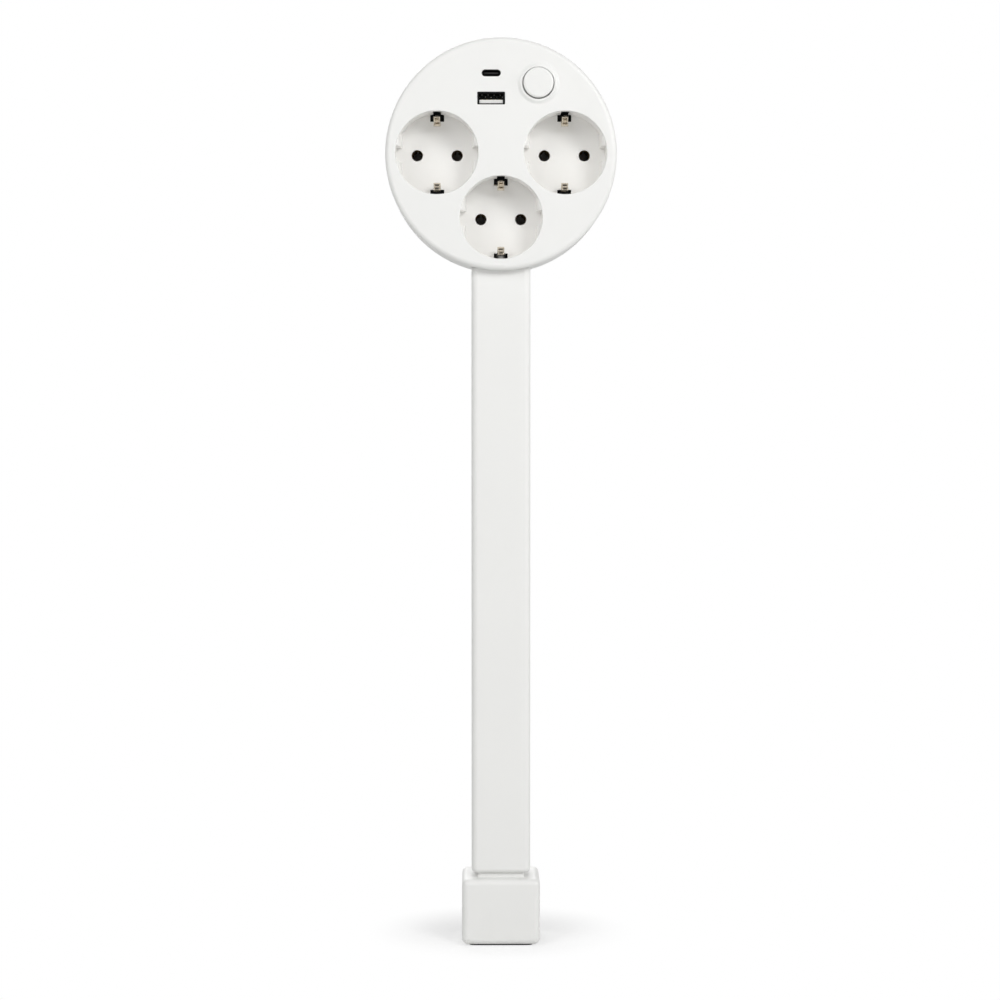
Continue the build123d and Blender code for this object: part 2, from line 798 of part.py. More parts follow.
# Line and neutral bars: each one strip with three split sleeves that grip the plug pins
sleeve_radius = pin_diameter / 2 + sleeve_wall
line_pins = [(x - pin_x, z) for x, z in well_points]
neutral_pins = [(x + pin_x, z) for x, z in well_points]
outer_pin_x = well_step + pin_x
inner_pin_x = well_step - pin_x
elbow_z = well_rise - bar_elbow_drop
line_run = [
    (inner_pin_x, well_rise),
    (inner_pin_x, line_bar_z),
    (-outer_pin_x, line_bar_z),
    (-outer_pin_x, elbow_z),
    (-pin_x, lower_well_z),
]
neutral_run = [
    (-inner_pin_x, well_rise),
    (pin_x, lower_well_z),
    (outer_pin_x, elbow_z),
    (outer_pin_x, well_rise),
]


def contact_bar(run, pins):
    """A flat strip along the run with a split sleeve around each pin."""
    with BuildPart() as rail:
        with BuildSketch(face_plane(carrier_back)):
            with BuildLine() as centre_line:
                Polyline(*run)
            trace(centre_line.line, bar_width)
            with Locations(*pins):
                Circle(sleeve_radius + sleeve_pad)
        extrude(amount=-bar_thickness)
        with BuildSketch(face_plane(sleeve_front)):
            with Locations(*pins):
                Circle(sleeve_radius)
        extrude(amount=-(sleeve_end_depth - sleeve_front))
        with BuildSketch(face_plane(sleeve_front)):
            with Locations(*pins):
                Circle(pin_diameter / 2)
        extrude(amount=-(sleeve_end_depth - sleeve_front), mode=Mode.SUBTRACT)
        with BuildSketch(face_plane(carrier_back + 2 * bar_thickness)):
            with Locations(*pins):
                Rectangle(sleeve_slit, 3 * sleeve_radius)
        extrude(amount=-(sleeve_end_depth - carrier_back), mode=Mode.SUBTRACT)
    return rail


line_rail = contact_bar(line_run, line_pins)
save(line_rail, "line_rail")
neutral_rail = contact_bar(neutral_run, neutral_pins)
save(neutral_rail, "neutral_rail")

# Carrier: the plate that holds the inserts forward and the contact bars in place. A collar
# round each pin hole leads the pin into its sleeve
flex_notch_width = flex_diameter + 2 * flex_notch_side
flex_notch_top = lower_well_z - flex_notch_drop
carrier_middle_height = carrier_screw_z - carrier_screw_low_z + carrier_post_diameter
carrier_middle_z = (carrier_screw_z + carrier_screw_low_z) / 2
with BuildPart() as contact_carrier:
    with BuildSketch(face_plane(carrier_front)):
        with Locations(*well_points):
            Circle(insert_radius)
        Polygon(*well_points, align=None)
        with Locations((0, carrier_middle_z)):
            Rectangle(2 * carrier_screw_x + carrier_post_diameter, carrier_middle_height)
    extrude(amount=-carrier_thickness)
    with BuildSketch(face_plane(insert_back)):
        for well_x, well_z in well_points:
            with Locations((well_x, well_z)):
                Circle(insert_radius)
                Circle(insert_radius - carrier_ring, mode=Mode.SUBTRACT)
        with Locations(*well_points):
            Circle(insert_radius - carrier_ring, mode=Mode.SUBTRACT)
            Rectangle(clip_width + 2 * clip_notch_margin, 3 * insert_radius, mode=Mode.SUBTRACT)
        with Locations((0, earth_bar_z)):
            Rectangle(4 * insert_radius, bar_width + 2 * bar_notch_margin, mode=Mode.SUBTRACT)
        with Locations((earth_drop_x / 2, (earth_bar_z + drop_low) / 2)):
            Rectangle(
                abs(earth_drop_x) + bar_width + 2 * drop_notch_margin,
                earth_bar_z - drop_low + 2 * drop_notch_margin,
                mode=Mode.SUBTRACT,
            )
        with Locations(*line_pins, *neutral_pins):
            Circle(throat_radius + throat_wall)
    extrude(amount=-(carrier_front - insert_back))
    with BuildSketch(face_plane(throat_back)):
        with Locations(*line_pins, *neutral_pins):
            Circle(sleeve_radius + run_clearance)
    extrude(amount=-(carrier_back - throat_back), mode=Mode.SUBTRACT)
    with BuildSketch(face_plane(insert_back)):
        with Locations(*line_pins, *neutral_pins):
            Circle(throat_radius)
        with Locations(*carrier_points):
            Circle(screw_radius + screw_pass)
        with Locations((0, earth_bar_z + earth_tab_rise)):
            Rectangle(bar_width + 2 * run_clearance, bar_thickness + 2 * run_clearance)
        with Locations((0, flex_notch_top - insert_radius)):
            Rectangle(flex_notch_width, 2 * insert_radius)
    extrude(amount=-(carrier_back - insert_back), mode=Mode.SUBTRACT)
save(contact_carrier, "contact_carrier")

carrier_screws = rear_screws(carrier_points, carrier_back, screw_bite)
save(carrier_screws, "carrier_screws")

# Anchor: a spigot bonded in the column's top and a bracket screwed to the head
anchor_top_z = head_z + flex_notch_top
tower_front = carrier_back + run_clearance - column_depth
tower_back = glide_width / 2
pocket_back = tower_back - anchor_back_wall
spigot_bore = glide_width - 2 * spigot_wall
with BuildPart() as column_anchor:
    with BuildSketch(column_plane(stem_top - spigot_length)):
        bored_column(glide_width, neck_round, spigot_bore, neck_round)
    extrude(amount=spigot_length)
    with BuildSketch(column_plane(stem_top)):
        with Locations((0, (tower_front + tower_back) / 2)):
            Rectangle(glide_width, tower_back - tower_front)
    extrude(amount=anchor_top_z - stem_top)
    with BuildSketch(face_plane(anchor_seat_depth)):
        Circle(skirt_radius - run_clearance)
        with Locations((0, (anchor_top_z + stem_top) / 2 - head_z)):
            Rectangle(2 * anchor_x + boss_diameter, anchor_top_z - stem_top, mode=Mode.INTERSECT)
    extrude(amount=-anchor_plate)
    with BuildSketch(column_plane(stem_top - spigot_wall)):
        with Locations((0, pocket_back / 2)):
            Rectangle(flex_notch_width, pocket_back)
    extrude(amount=anchor_top_z - stem_top + spigot_wall, mode=Mode.SUBTRACT)
    with BuildSketch(face_plane(anchor_seat_depth)):
        with Locations(*anchor_points):
            Circle(screw_radius + screw_pass)
    extrude(amount=-anchor_plate, mode=Mode.SUBTRACT)
save(column_anchor, "column_anchor")

anchor_screws = rear_screws(anchor_points, anchor_seat_depth + anchor_plate, screw_bite)
save(anchor_screws, "anchor_screws")

# Terminal block on the carrier, where the flex ends
block_low = block_z - block_height / 2
with BuildPart() as terminal_block:
    with BuildSketch(face_plane(carrier_back)):
        with Locations((0, block_z)):
            Rectangle(block_width, block_height)
    extrude(amount=-block_length)
    with BuildSketch(face_plane(carrier_back + block_length)):
        with Locations((0, block_z)):
            with GridLocations(block_width / 3, 1, 3, 1):
                Circle(block_hole_radius)
    extrude(amount=block_hole_depth, mode=Mode.SUBTRACT)
save(terminal_block, "terminal_block")

# Board behind the ports, notched round the cover screws' posts
with BuildPart() as main_board:
    with BuildSketch(face_plane(board_depth)):
        Circle(board_radius)
        with Locations((0, board_low_z + head_radius)):
            Rectangle(2 * head_radius, 2 * head_radius, mode=Mode.INTERSECT)
        with Locations(*cover_points):
            Circle(boss_radius + run_clearance, mode=Mode.SUBTRACT)
        with Locations(*board_points):
            Circle(screw_radius + screw_pass, mode=Mode.SUBTRACT)
    extrude(amount=-board_thickness)
save(main_board, "main_board")

board_screws = rear_screws(board_points, board_back, board_screw_bite)
save(board_screws, "board_screws")

# Components that stand on the board: a relay, a transformer, two capacitors and a radio
part_edge_x = board_post_x - part_edge_gap
relay_x = part_edge_x - relay_width / 2
with BuildPart() as relay:
    with BuildSketch(face_plane(board_back, relay_x, relay_z)):
        RectangleRounded(relay_width, relay_height, part_corner)
    extrude(amount=-relay_length)
save(relay, "relay")

core_width = core_centre_leg + 2 * core_window + 2 * core_leg
transformer_x = core_width / 2 - part_edge_x
with BuildPart() as transformer_core:
    with BuildSketch(face_plane(board_back, transformer_x, transformer_z)):
        RectangleRounded(core_width, core_height, part_corner)
    extrude(amount=-(core_window_length + 2 * core_leg))
    with BuildSketch(face_plane(board_back + core_leg, transformer_x, transformer_z)):
        with GridLocations(core_centre_leg + core_window, 1, 2, 1):
            Rectangle(core_window, 2 * core_height)
    extrude(amount=-core_window_length, mode=Mode.SUBTRACT)
save(transformer_core, "transformer_core")

winding_width = core_centre_leg + 2 * core_window - 2 * snug_clearance
with BuildPart() as transformer_winding:
    with BuildSketch(face_plane(board_back + core_leg + snug_clearance, transformer_x, transformer_z)):
        Rectangle(winding_width, core_height + 2 * winding_rise)
        Rectangle(core_centre_leg + 2 * snug_clearance, core_height + 2 * snug_clearance, mode=Mode.SUBTRACT)
    extrude(amount=-(core_window_length - 2 * snug_clearance))
save(transformer_winding, "transformer_winding")


def capacitor(x, z, radius, length):
    """A can capacitor that stands on the board's back."""
    with BuildPart() as can:
        with BuildSketch(face_plane(board_back, x, z)):
            Circle(radius)
        extrude(amount=-length)
        fillet(can.edges().group_by(Axis.Y)[-1], capacitor_round)
    return can


bulk_capacitor = capacitor(
    bulk_capacitor_x, bulk_capacitor_z, bulk_capacitor_radius, bulk_capacitor_length
)
save(bulk_capacitor, "bulk_capacitor")
output_capacitor = capacitor(
    output_capacitor_x, output_capacitor_z, output_capacitor_radius, output_capacitor_length
)
save(output_capacitor, "output_capacitor")

with BuildPart() as radio_module:
    with BuildSketch(face_plane(board_depth, radio_width / 2 - part_edge_x, radio_z)):
        RectangleRounded(radio_width, radio_height, part_corner)
    extrude(amount=radio_thickness)
save(radio_module, "radio_module")

# USB ports: pressed shells that stand on the board, each with its tongue
with BuildPart() as usb_a_shell:
    with BuildSketch(face_plane(port_recess, usb_x, usb_a_z)):
        RectangleRounded(usb_a_width - 2 * port_gap, usb_a_height - 2 * port_gap, usb_a_corner)
        offset(amount=-usb_a_shell_wall, kind=Kind.INTERSECTION, mode=Mode.SUBTRACT)
    extrude(amount=-(board_depth - port_recess))
save(usb_a_shell, "usb_a_shell")

usb_a_inside_width = usb_a_width - 2 * port_gap - 2 * usb_a_shell_wall
usb_a_inside_height = usb_a_height - 2 * port_gap - 2 * usb_a_shell_wall
tongue_front = port_recess + usb_a_tongue_inset
tongue_z = usb_a_z - usb_a_tongue_drop
with BuildPart() as usb_a_tongue:
    with BuildSketch(face_plane(board_depth, usb_x, usb_a_z)):
        Rectangle(usb_a_inside_width - 2 * snug_clearance, usb_a_inside_height - 2 * snug_clearance)
    extrude(amount=board_depth - tongue_front - usb_a_tongue_length)
    with BuildSketch(face_plane(board_depth, usb_x, tongue_z)):
        Rectangle(usb_a_tongue_width, usb_a_tongue_height)
    extrude(amount=board_depth - tongue_front)
save(usb_a_tongue, "usb_a_tongue")

contact_front = tongue_front + contact_inset
contact_z = tongue_z + (usb_a_tongue_height + contact_rise) / 2
with BuildPart() as usb_a_contacts:
    with BuildSketch(face_plane(tongue_front + contact_pad_inset, usb_x, contact_z)):
        with GridLocations(contact_pad_pitch, 1, 5, 1):
            Rectangle(contact_pad_width, contact_rise)
    extrude(amount=-contact_pad_length)
    with BuildSketch(face_plane(contact_front, usb_x, contact_z)):
        with GridLocations(contact_pitch, 1, 4, 1):
            Rectangle(contact_width, contact_rise)
    extrude(amount=-(usb_a_tongue_length - contact_inset - contact_end_gap))
save(usb_a_contacts, "usb_a_contacts")

with BuildPart() as usb_c_shell:
    with BuildSketch(face_plane(port_recess, usb_x, usb_c_z)):
        SlotOverall(usb_c_width - 2 * port_gap, usb_c_height - 2 * port_gap)
        offset(amount=-port_shell_wall, mode=Mode.SUBTRACT)
    extrude(amount=-(board_depth - port_recess))
save(usb_c_shell, "usb_c_shell")

usb_c_base_margin = port_gap + port_shell_wall + snug_clearance
usb_c_tongue_front = port_recess + usb_c_tongue_inset
with BuildPart() as usb_c_tongue:
    with BuildSketch(face_plane(board_depth, usb_x, usb_c_z)):
        SlotOverall(usb_c_width - 2 * usb_c_base_margin, usb_c_height - 2 * usb_c_base_margin)
    extrude(amount=board_depth - usb_c_tongue_front - usb_c_tongue_length)
    with BuildSketch(face_plane(board_depth, usb_x, usb_c_z)):
        Rectangle(usb_c_tongue_width, usb_c_tongue_height)
    extrude(amount=board_depth - usb_c_tongue_front)
save(usb_c_tongue, "usb_c_tongue")

# Push button: a capped sleeve with a flange behind the face, its plunger, spring and switch
flange_front = front_wall + button_flange_gap
cap_back = flange_front + button_flange_thickness
cap_inside = button_face_wall - button_proud
cap_stem_end = switch_front - button_travel - press_gap
with BuildPart() as button_cap:
    with BuildSketch(face_plane(-button_proud, button_x, button_z)):
        Circle(button_diameter / 2)
    extrude(amount=-(button_proud + cap_back))
    fillet(button_cap.edges().group_by(Axis.Y)[0], button_round)
    with BuildSketch(face_plane(flange_front, button_x, button_z)):
        Circle(button_diameter / 2 + button_flange)
    extrude(amount=-button_flange_thickness)
    with BuildSketch(face_plane(cap_inside, button_x, button_z)):
        Circle(button_diameter / 2 - button_wall)
    extrude(amount=-(cap_back - cap_inside), mode=Mode.SUBTRACT)
    with BuildSketch(face_plane(cap_inside, button_x, button_z)):
        Circle(button_stem_radius)
    extrude(amount=-(cap_stem_end - cap_inside))
save(button_cap, "button_cap")

with BuildPart() as switch_plunger:
    with BuildSketch(face_plane(cap_stem_end, button_x, button_z)):
        Circle(plunger_radius)
    extrude(amount=-plunger_length)
save(switch_plunger, "switch_plunger")

with BuildPart() as power_switch:
    with BuildSketch(face_plane(switch_front, button_x, button_z)):
        RectangleRounded(switch_width, switch_width, switch_corner)
    extrude(amount=-(board_depth - switch_front))
    with BuildSketch(face_plane(switch_front, button_x, button_z)):
        Circle(plunger_radius + run_clearance)
    extrude(amount=-(plunger_length + press_gap), mode=Mode.SUBTRACT)
save(power_switch, "power_switch")


def coil_points(radius, pitch, half_turns):
    """Quarter-turn points of a coil about the origin, as (across, along, up)."""
    quarter_turns = range(2 * half_turns + 1)
    return [(radius * cos(q * pi / 2), q * pitch / 4, radius * sin(q * pi / 2)) for q in quarter_turns]


def least_gap(points, wire, turn_points):
    """The least space between points of a coil that are half a turn or more apart."""
    gaps = []
    for i, a in enumerate(points):
        for b in points[i + turn_points:]:
            gaps.append(hypot(a[0] - b[0], a[1] - b[1], a[2] - b[2]) - wire)
    return min(gaps)


# The spring stands on the switch, round the cap's stem, and presses the cap forward
spring_ends = spring_wire / 2 + snug_clearance
spring_span = switch_front - cap_inside - 2 * spring_ends
spring_pitch = 2 * spring_span / spring_half_turns
spring_points = coil_points(spring_radius, spring_pitch, spring_half_turns)
spring_start = head_point(button_x, cap_inside + spring_ends, button_z)
print("button spring: least gap", round(least_gap(spring_points, spring_wire, 2), 2), "mm")
with BuildPart() as button_spring:
    with BuildLine() as spring_line:
        for start in range(0, 2 * spring_half_turns, 2):
            arc_points = [Vector(spring_start) + Vector(p) for p in spring_points[start:start + 3]]
            ThreePointArc(*arc_points)
    with BuildSketch(Plane(origin=spring_line.line @ 0, z_dir=spring_line.line % 0)):
        Circle(spring_wire / 2)
    sweep(path=spring_line.line)
save(button_spring, "button_spring")

# Internal flex: a straight lead in the inner tube, a coil that stretches, and a lead to the head
coil_top = tube_top - flex_coil_drop
coil_bottom = coil_top - flex_coil_length
with BuildPart() as flex_lower:
    with BuildSketch(column_plane(ledge_z + terminal_height)):
        Circle(flex_diameter / 2)
    extrude(amount=coil_bottom - ledge_z - terminal_height)
save(flex_lower, "flex_lower")

with BuildPart() as flex_coil:
    with BuildSketch(column_plane(coil_bottom)):
        Circle(flex_coil_diameter / 2)
        Circle(flex_coil_diameter / 2 - flex_diameter, mode=Mode.SUBTRACT)
    extrude(amount=flex_coil_length)
save(flex_coil, "flex_coil")

flex_head_depth = carrier_back + flex_behind_carrier
flex_route = [
    (0, column_y, coil_top),
    head_point(0, column_depth, lower_well_z - flex_bend_low),
    head_point(0, flex_head_depth, lower_well_z - flex_bend_high),
    head_point(0, flex_head_depth, block_low),
]
flex_upper = wire_along(flex_route, [flex_bend_radius, flex_bend_radius], flex_diameter)
save(flex_upper, "flex_upper")
print("upper flex: bends of", flex_bend_radius, "mm")

# Wires in the head
wire_depth = carrier_back + wire_behind_carrier
side_wire_z = block_z - wire_drop
line_wire = wire_along(
    [
        head_point(block_width / 2, wire_depth, side_wire_z),
        head_point(relay_x, wire_depth, side_wire_z),
        head_point(relay_x, wire_depth, relay_z - relay_height / 2),
    ],
    [wire_bend_radius],
    wire_diameter,
)
save(line_wire, "line_wire")

switched_wire_x = inner_pin_x + switched_wire_rise
switched_wire_depth = wire_depth - switched_wire_rise
switched_wire = wire_along(
    [
        head_point(switched_wire_x, switched_wire_depth, relay_z - relay_height / 2),
        head_point(switched_wire_x, switched_wire_depth, line_bar_z),
        head_point(switched_wire_x, carrier_back + bar_thickness, line_bar_z),
    ],
    [switched_wire_bend_radius],
    wire_diameter,
)
save(switched_wire, "switched_wire")

neutral_wire = wire_along(
    [
        head_point(-block_width / 2, wire_depth, side_wire_z),
        head_point(-inner_pin_x, wire_depth, side_wire_z),
        head_point(-inner_pin_x, wire_depth, well_rise + sleeve_radius),
    ],
    [wire_bend_radius],
    wire_diameter,
)
save(neutral_wire, "neutral_wire")
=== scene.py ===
import bpy
import bmesh
import math
from mathutils import Matrix, Vector


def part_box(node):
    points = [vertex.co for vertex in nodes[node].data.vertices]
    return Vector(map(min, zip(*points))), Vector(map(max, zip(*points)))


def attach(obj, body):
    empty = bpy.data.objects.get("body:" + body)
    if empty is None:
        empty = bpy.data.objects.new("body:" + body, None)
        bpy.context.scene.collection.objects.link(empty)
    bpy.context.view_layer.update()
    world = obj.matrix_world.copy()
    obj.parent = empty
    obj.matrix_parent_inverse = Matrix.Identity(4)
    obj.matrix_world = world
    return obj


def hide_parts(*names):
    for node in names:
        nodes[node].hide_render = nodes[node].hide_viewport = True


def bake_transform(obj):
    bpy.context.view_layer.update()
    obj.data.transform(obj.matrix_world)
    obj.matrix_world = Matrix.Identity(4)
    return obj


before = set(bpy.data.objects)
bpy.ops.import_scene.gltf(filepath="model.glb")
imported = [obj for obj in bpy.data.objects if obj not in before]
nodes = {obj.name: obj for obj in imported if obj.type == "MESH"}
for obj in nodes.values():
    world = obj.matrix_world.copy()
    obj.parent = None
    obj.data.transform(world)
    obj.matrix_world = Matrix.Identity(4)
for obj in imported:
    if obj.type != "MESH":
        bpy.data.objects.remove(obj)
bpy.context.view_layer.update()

# A socket column: three wells, two charging ports, a push button. Metres, X right, Y back, Z up.
scene = bpy.context.scene
print("frame loaded:", len(nodes), "nodes")


def toLinear(hexColour):
    # sRGB hex to the linear values that the sockets take
    parts = [int(hexColour[i:i + 2], 16) / 255 for i in (0, 2, 4)]
    linear = [c / 12.92 if c <= 0.04045 else ((c + 0.055) / 1.055) ** 2.4 for c in parts]
    return tuple(linear) + (1.0,)


def addNode(tree, kind, settings=None, links=None):
    # settings are inputs or properties by name, or inputs by number; links go from an output
    node = tree.nodes.new(kind)
    for key, value in (settings or {}).items():
        if isinstance(key, int) or key in node.inputs:
            node.inputs[key].default_value = value
        else:
            setattr(node, key, value)
    for key, output in (links or {}).items():
        tree.links.new(output, node.inputs[key])
    return node


def startMaterial(name):
    material = bpy.data.materials.new(name)
    material.use_nodes = True
    tree = material.node_tree
    tree.nodes.clear()
    place = addNode(tree, "ShaderNodeTexCoord").outputs["Object"]
    return material, tree, place


def perMm(sizeMm):
    # texture scale for a grain of this many millimetres, on coordinates in metres
    return 1000 / sizeMm


def mouldedPlastic(name, look):
    # Injection-moulded plastic: a fine spark-eroded grain, softly varied gloss, faint flow tint
    material, tree, place = startMaterial(name)
    grain = addNode(
        tree,
        "ShaderNodeTexNoise",
        {"Scale": perMm(look["grainMm"]), "Detail": 3.0},
        {"Vector": place},
    )
    flow = addNode(
        tree,
        "ShaderNodeTexNoise",
        {"Scale": perMm(look["flowMm"]), "Detail": 1.0},
        {"Vector": place},
    )
    tint = addNode(
        tree,
        "ShaderNodeMix",
        {"data_type": "RGBA", 6: toLinear(look["colour"]), 7: toLinear(look["tint"])},
        {0: flow.outputs["Fac"]},
    )
    gloss = addNode(
        tree,
        "ShaderNodeMapRange",
        {
            "To Min": look["roughness"] - look["glossRange"],
            "To Max": look["roughness"] + look["glossRange"],
        },
        {"Value": grain.outputs["Fac"]},
    )
    bump = addNode(
        tree,
        "ShaderNodeBump",
        {"Strength": look["grainStrength"], "Distance": look["grainDepthMm"] / 1000},
        {"Height": grain.outputs["Fac"]},
    )
    shader = addNode(
        tree,
        "ShaderNodeBsdfPrincipled",
        {"IOR": look["ior"], "Specular IOR Level": look["specular"]},
        {"Base Color": tint.outputs[2], "Roughness": gloss.outputs[0], "Normal": bump.outputs[0]},
    )
    addNode(tree, "ShaderNodeOutputMaterial", links={"Surface": shader.outputs[0]})
    return material


def workedMetal(name, look):
    # Stamped, drawn or plated metal: fine scratches along one way and a slightly uneven colour
    material, tree, place = startMaterial(name)
    along = addNode(tree, "ShaderNodeMapping", {"Scale": look["stretch"]}, {"Vector": place})
    lines = addNode(
        tree,
        "ShaderNodeTexNoise",
        {"Scale": perMm(look["lineMm"]), "Detail": 4.0},
        {"Vector": along.outputs[0]},
    )
    tarnish = addNode(
        tree,
        "ShaderNodeTexNoise",
        {"Scale": perMm(look["patchMm"]), "Detail": 2.0},
        {"Vector": place},
    )
    tint = addNode(
        tree,
        "ShaderNodeMix",
        {"data_type": "RGBA", 6: toLinear(look["colour"]), 7: toLinear(look["tint"])},
        {0: tarnish.outputs["Fac"]},
    )
    gloss = addNode(
        tree,
        "ShaderNodeMapRange",
        {
            "To Min": look["roughness"] - look["glossRange"],
            "To Max": look["roughness"] + look["glossRange"],
        },
        {"Value": lines.outputs["Fac"]},
    )
    bump = addNode(
        tree,
        "ShaderNodeBump",
        {"Strength": look["lineStrength"], "Distance": look["lineDepthMm"] / 1000},
        {"Height": lines.outputs["Fac"]},
    )
    shader = addNode(
        tree,
        "ShaderNodeBsdfPrincipled",
        {"Metallic": 1.0},
        {"Base Color": tint.outputs[2], "Roughness": gloss.outputs[0], "Normal": bump.outputs[0]},
    )
    addNode(tree, "ShaderNodeOutputMaterial", links={"Surface": shader.outputs[0]})
    return material


def dress(names, material):
    # gives CAD nodes their finish
    for name in names:
        for materialSlot in nodes[name].material_slots:
            materialSlot.material = material


# White PC/ABS shell: moulded against a fine matte grain, so it gives a soft wide highlight.
# The real grain is 0.2 mm and too fine to show, so it is drawn at 0.9 mm.
shellLook = {
    "colour": "eeeeec", "tint": "ebebe9", "roughness": 0.46, "glossRange": 0.04,
    "ior": 1.5, "specular": 0.5,
    "grainMm": 0.9, "grainStrength": 0.25, "grainDepthMm": 0.02, "flowMm": 60,
}
shellPlastic = mouldedPlastic("shell_moulded_white_abs", shellLook)
dress(["front_housing", "rear_cover", "foot_shell"], shellPlastic)

# Column: extruded aluminium, powder-coated white to match the shell, with a faint orange peel
columnLook = dict(shellLook, grainMm=1.6, roughness=0.5, grainStrength=0.2)
columnCoat = mouldedPlastic("column_white_powder_coat", columnLook)
dress(["outer_tube"], columnCoat)

# Inner tube: the same coat, rubbed a little smoother by the guides, and coloured lighter than the
# column as painted light against the column's shadow on it
neckLightenedLook = dict(shellLook, colour="f2f2f0", tint="eeeeec", grainMm=1.6, roughness=0.42)
neckCoat = mouldedPlastic("neck_white_coat_painted_light", neckLightenedLook)
dress(["inner_tube"], neckCoat)

# Socket inserts: glossier white urea moulding, as sockets are, nearly without grain
insertLook = {
    "colour": "f7f6f4", "tint": "f4f3f0", "roughness": 0.38, "glossRange": 0.03,
    "ior": 1.52, "specular": 0.5,
    "grainMm": 1.2, "grainStrength": 0.1, "grainDepthMm": 0.01, "flowMm": 30,
}
insertPlastic = mouldedPlastic("insert_moulded_white_urea", insertLook)
dress(["socket_insert_left", "socket_insert_right", "socket_insert_bottom"], insertPlastic)

# Button cap: the shell's plastic, polished a little by use
buttonLook = dict(shellLook, roughness=0.4, grainStrength=0.12)
buttonPlastic = mouldedPlastic("button_moulded_white_abs", buttonLook)
dress(["button_cap"], buttonPlastic)

# Acetal glides and plunger: waxy, slightly cream, low-friction plastic
acetalLook = dict(shellLook, colour="e6e3d6", tint="dedbcd", roughness=0.35, grainStrength=0.1)
acetal = mouldedPlastic("glide_natural_acetal", acetalLook)
dress(["upper_glide", "lower_guide", "switch_plunger"], acetal)

# Carrier and anchor: black glass-filled nylon, so that nothing pale shows through holes and slots
carrierLook = dict(
    shellLook, colour="0b0b0c", tint="0f0f10", roughness=0.6, specular=0.25,
    grainMm=0.7, grainStrength=0.4,
)
dress(["contact_carrier", "column_anchor"], mouldedPlastic("carrier_black_nylon", carrierLook))

# Terminal blocks: grey polyamide
terminalLook = dict(shellLook, colour="8d8f91", tint="85878a", roughness=0.5, grainMm=0.7)
dress(["terminal_block", "inlet_terminal"], mouldedPlastic("terminal_grey_polyamide", terminalLook))

# Push switch and the smaller port's dark tongue: black thermoplastic with a satin skin; the same
# black is also the painted shade on the block behind the larger port's tongue
switchLook = dict(shellLook, colour="141415", tint="1a1a1b", roughness=0.45, grainMm=0.6)
dress(["power_switch"], mouldedPlastic("switch_black_polyester", switchLook))
blackTongueAndShadeLook = dict(switchLook, colour="0d0d0e", tint="111112", roughness=0.5, specular=0.3)
blackTongueAndShade = mouldedPlastic("tongue_black_polymer_and_painted_shade", blackTongueAndShadeLook)
dress(["usb_c_tongue"], blackTongueAndShade)

# White tongue of the larger port: heat-proof polymer with a dull skin
paleTongueLook = dict(
    shellLook, colour="eeeeeb", tint="e8e8e5", roughness=0.5, grainMm=0.6, grainStrength=0.1
)
dress(["usb_a_tongue"], mouldedPlastic("tongue_white_crystal_polymer", paleTongueLook))

# The larger port's block behind its tongue takes the black tongue finish as painted shade, standing
# in for the shade deep in the port; the real block is white like the tongue
tongueShape = {"lengthMm": 8.5, "toleranceMm": 0.05}
tongueData = nodes["usb_a_tongue"].data
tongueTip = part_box("usb_a_tongue")[0].y
paintedShadeBlockFront = tongueTip + (tongueShape["lengthMm"] - tongueShape["toleranceMm"]) / 1000
tongueData.materials.append(blackTongueAndShade)
# faces behind the block's front take the black finish, which paints the port's deep shade
for polygon in tongueData.polygons:
    if polygon.center.y > paintedShadeBlockFront:
        polygon.material_index = 1

# Relay case: glossy blue polyester, as such relays have
relayLook = dict(shellLook, colour="27508f", tint="234a86", roughness=0.3, grainStrength=0.08)
dress(["relay"], mouldedPlastic("relay_blue_polyester", relayLook))

# Capacitor sleeves: dark shrunk film, glossy
sleeveLook = dict(shellLook, colour="1b1d26", tint="20222c", roughness=0.25, grainStrength=0.08)
sleeveFilm = mouldedPlastic("capacitor_dark_shrink_film", sleeveLook)
dress(["bulk_capacitor", "output_capacitor"], sleeveFilm)

# Foot pad: soft black rubber, very matt; gland: pale grey rubber
padLook = {
    "colour": "1b1b1c", "tint": "242425", "roughness": 0.82, "glossRange": 0.06,
    "ior": 1.52, "specular": 0.3,
    "grainMm": 0.6, "grainStrength": 0.6, "grainDepthMm": 0.05, "flowMm": 8,
}
dress(["foot_pad"], mouldedPlastic("pad_black_rubber", padLook))
glandLook = dict(padLook, colour="d5d5d3", tint="cececb", roughness=0.65, grainStrength=0.25)
dress(["cable_gland"], mouldedPlastic("gland_pale_rubber", glandLook))

# Internal flex and wires: extruded PVC, satin, with faint flow lines
flexLook = dict(glandLook, colour="e8e8e6", tint="e2e2df", roughness=0.45)
brownLook = dict(flexLook, colour="6b3f22", tint="633a1f")
blueLook = dict(flexLook, colour="2a57a5", tint="264f98")
dress(["flex_lower", "flex_coil", "flex_upper"], mouldedPlastic("flex_white_pvc", flexLook))
dress(["line_wire", "switched_wire"], mouldedPlastic("wire_brown_pvc", brownLook))
dress(["neutral_wire"], mouldedPlastic("wire_blue_pvc", blueLook))

# Ferrite core: dull sintered ceramic, dark grey with pits
ferriteLook = dict(padLook, colour="2f2f31", tint="3a3a3c", roughness=0.6, grainMm=0.5)
dress(["transformer_core"], mouldedPlastic("core_sintered_ferrite", ferriteLook))

# Earth clips and bar: nickel-plated bronze strip, bright, with drawing lines along the strip
clipLook = {
    "colour": "d8cfc0", "tint": "cdc3b3", "roughness": 0.2, "glossRange": 0.05,
    "stretch": (6, 1, 1), "lineMm": 0.8, "lineStrength": 0.25, "lineDepthMm": 0.01, "patchMm": 5,
}
clipMetal = workedMetal("clip_nickel_plated_bronze", clipLook)

